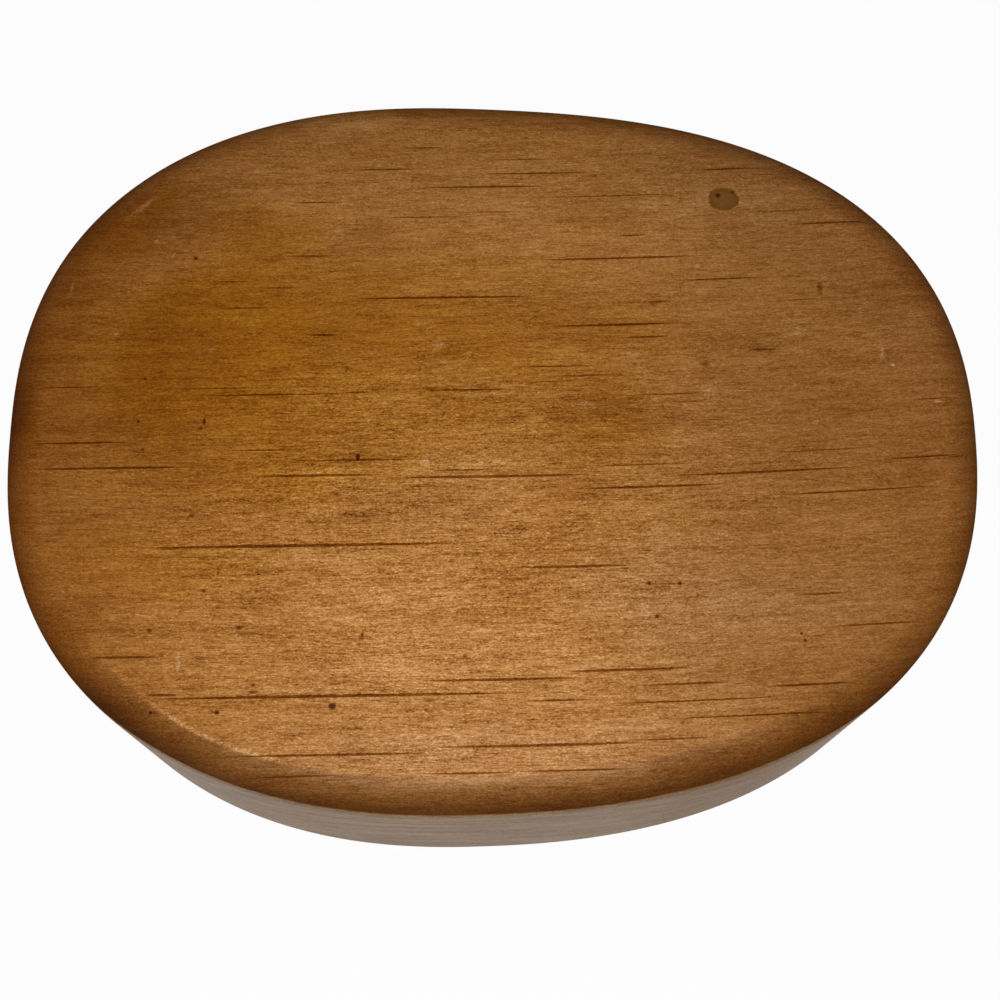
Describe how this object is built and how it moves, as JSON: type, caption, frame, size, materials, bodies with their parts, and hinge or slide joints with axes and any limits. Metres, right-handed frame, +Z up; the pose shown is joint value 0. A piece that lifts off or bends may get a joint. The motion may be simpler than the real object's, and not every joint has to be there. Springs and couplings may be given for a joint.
{
  "type": "oval wooden trinket box",
  "caption": "Small oval wooden box with a flat lid, rounded over at its edge, that swivels sideways on a dowel to open a felt-floored hollow for trinkets.",
  "frame": {"origin": "centre of the box's bounding box at its underside, where it stands on the table", "axes": "+Z up, +X along the oval towards the end with the dowel, +Y to the back"},
  "size_m": [0.15, 0.1166, 0.0451],
  "materials": {
    "varnished_wood": "amber-brown wood under a thin satin varnish, worn lighter at the lid's edge",
    "dowel_wood": "dark end grain under the same varnish",
    "felt": "matt dark green felt"
  },
  "bodies": {
    "box": {"body_wall": "varnished_wood", "bottom_board": "varnished_wood", "floor_lining": "felt"},
    "lid": {"lid": "varnished_wood", "pivot_dowel": "dowel_wood"}
  },
  "joints": [
    {"name": "lid_swivel", "type": "hinge", "parent": "box", "child": "lid", "pos_m": [0.03655, 0.03899, 0.0328], "axis": [0, 0, 1], "continuous": true}
  ]
}
